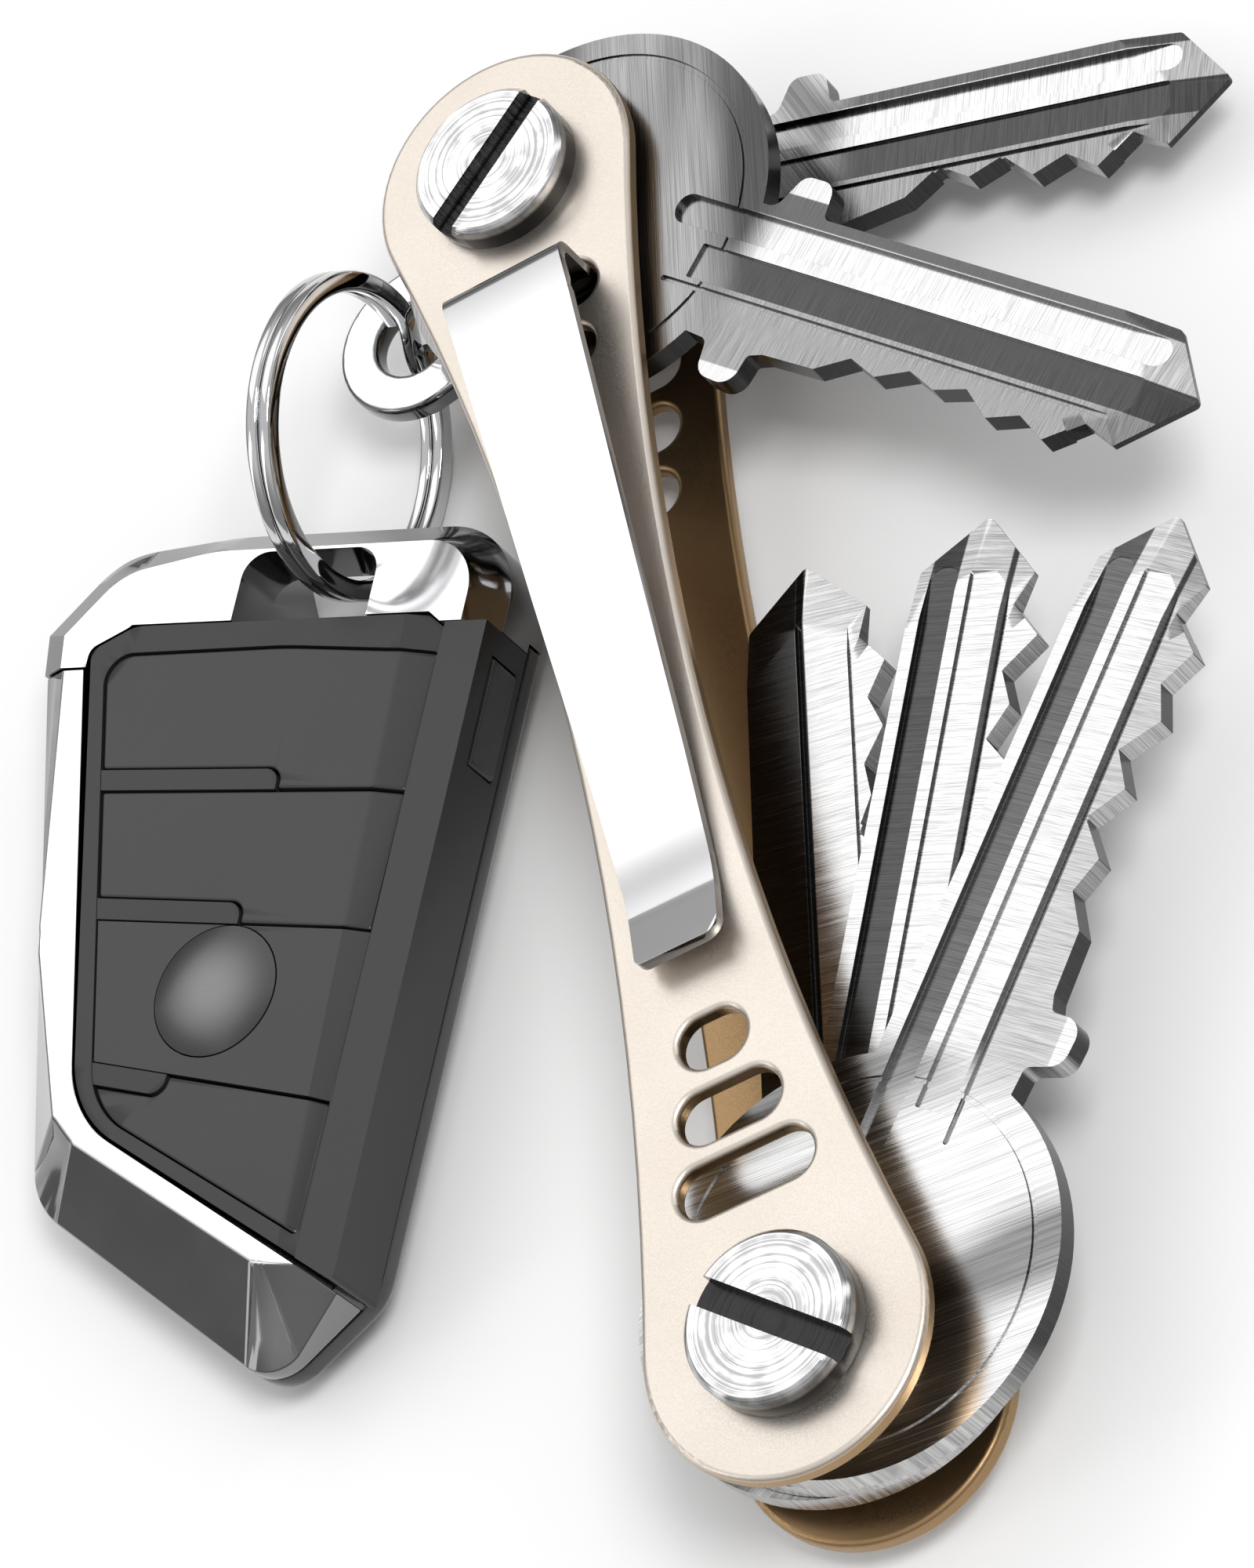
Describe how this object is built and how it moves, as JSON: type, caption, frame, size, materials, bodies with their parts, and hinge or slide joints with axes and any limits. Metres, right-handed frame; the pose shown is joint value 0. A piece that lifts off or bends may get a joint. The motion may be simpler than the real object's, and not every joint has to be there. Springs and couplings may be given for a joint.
{
  "type": "key organiser",
  "caption": "Folding key organiser: dog-bone side plates on screw posts, keys that swing out, a bent pocket clip, and a ring loop carrying a split ring and a button remote fob.",
  "frame": {"origin": "centre of the back plate's outer face, midway between the two posts", "axes": "+Y along the plates towards the clip and ring loop end, +Z out of the front plate, +X to the side the keys swing out to"},
  "size_m": [0.0826, 0.0931, 0.0184],
  "materials": {
    "plate_metal": "satin anodised, champagne",
    "screw_steel": "turned and polished",
    "spacer_metal": "plain turned",
    "clip_steel": "mirror polished spring steel",
    "loop_steel": "mirror polished",
    "ring_steel": "nickel plated wire",
    "key_metal": "nickel plated, brushed",
    "fob_black": "gloss black",
    "fob_bright": "chrome plated trim",
    "fob_grey": "satin dark grey",
    "button_grey": "satin dark grey",
    "badge_grey": "satin dome",
    "board_green": "solder mask",
    "mat_rubber": "moulded",
    "switch_steel": "stamped",
    "cell_steel": "stamped",
    "spring_brass": "stamped",
    "aerial_ferrite": "sintered"
  },
  "bodies": {
    "frame": {"front_plate": "plate_metal", "back_plate": "plate_metal", "top_post": "screw_steel", "bottom_post": "screw_steel", "top_screw": "screw_steel", "bottom_screw": "screw_steel", "top_spacers": "spacer_metal", "bottom_spacers": "spacer_metal", "pocket_clip": "clip_steel"},
    "key_a": {"key_a": "key_metal"},
    "key_b": {"key_b": "key_metal"},
    "key_c": {"key_c": "key_metal"},
    "key_d": {"key_d": "key_metal"},
    "key_e": {"key_e": "key_metal"},
    "loop": {"ring_loop": "loop_steel"},
    "ring": {"split_ring": "ring_steel"},
    "fob": {"fob_back_shell": "fob_black", "fob_side_band": "fob_bright", "fob_top_cap": "fob_bright", "fob_spine": "fob_black", "fob_bezel": "fob_grey", "fob_circuit_board": "board_green", "fob_button_mat": "mat_rubber", "fob_switches": "switch_steel", "fob_coin_cell": "cell_steel", "fob_cell_clip": "spring_brass", "fob_aerial": "aerial_ferrite"},
    "button_upper": {"fob_button_upper": "button_grey"},
    "button_middle": {"fob_button_middle": "button_grey"},
    "button_centre": {"fob_button_centre": "button_grey", "fob_badge": "badge_grey"},
    "button_lower": {"fob_button_lower": "button_grey"},
    "button_side": {"fob_side_button": "button_grey"}
  },
  "joints": [
    {"name": "key_a_turn", "type": "hinge", "parent": "frame", "child": "key_a", "pos_m": [0, 0.0375, 0], "axis": [0, 0, 1], "range_deg": [-71.3, 94]},
    {"name": "key_b_turn", "type": "hinge", "parent": "frame", "child": "key_b", "pos_m": [0, 0.0375, 0], "axis": [0, 0, 1], "range_deg": [-18, 120]},
    {"name": "key_c_turn", "type": "hinge", "parent": "frame", "child": "key_c", "pos_m": [0, -0.0375, 0], "axis": [0, 0, 1], "range_deg": [-140.4, 39.6]},
    {"name": "key_d_turn", "type": "hinge", "parent": "frame", "child": "key_d", "pos_m": [0, -0.0375, 0], "axis": [0, 0, 1], "range_deg": [-155, 25]},
    {"name": "key_e_turn", "type": "hinge", "parent": "frame", "child": "key_e", "pos_m": [0, -0.0375, 0], "axis": [0, 0, 1], "range_deg": [-169.2, 10.8]},
    {"name": "loop_turn", "type": "hinge", "parent": "frame", "child": "loop", "pos_m": [0, 0.0375, 0], "axis": [0, 0, 1], "range_deg": [-75, 0]},
    {"name": "ring_swing", "type": "hinge", "parent": "loop", "child": "ring", "pos_m": [-0.01024, 0.03569, 0], "axis": [0, 0, 1], "range_deg": [-60, 0]},
    {"name": "fob_swing", "type": "hinge", "parent": "ring", "child": "fob", "pos_m": [-0.0175, 0.0209, 0], "axis": [0, 0, 1], "range_deg": [-15, 20]},
    {"name": "button_upper_press", "type": "slide", "parent": "fob", "child": "button_upper", "axis": [0, 0, -1], "range_m": [0, 0.0003], "stiffness_N_per_m": 400},
    {"name": "button_middle_press", "type": "slide", "parent": "fob", "child": "button_middle", "axis": [0, 0, -1], "range_m": [0, 0.0003], "stiffness_N_per_m": 400},
    {"name": "button_centre_press", "type": "slide", "parent": "fob", "child": "button_centre", "axis": [0, 0, -1], "range_m": [0, 0.0003], "stiffness_N_per_m": 400},
    {"name": "button_lower_press", "type": "slide", "parent": "fob", "child": "button_lower", "axis": [0, 0, -1], "range_m": [0, 0.0003], "stiffness_N_per_m": 400},
    {"name": "button_side_press", "type": "slide", "parent": "fob", "child": "button_side", "axis": [-0.898, 0.4399, 0], "range_m": [0, 0.0003], "stiffness_N_per_m": 400}
  ]
}
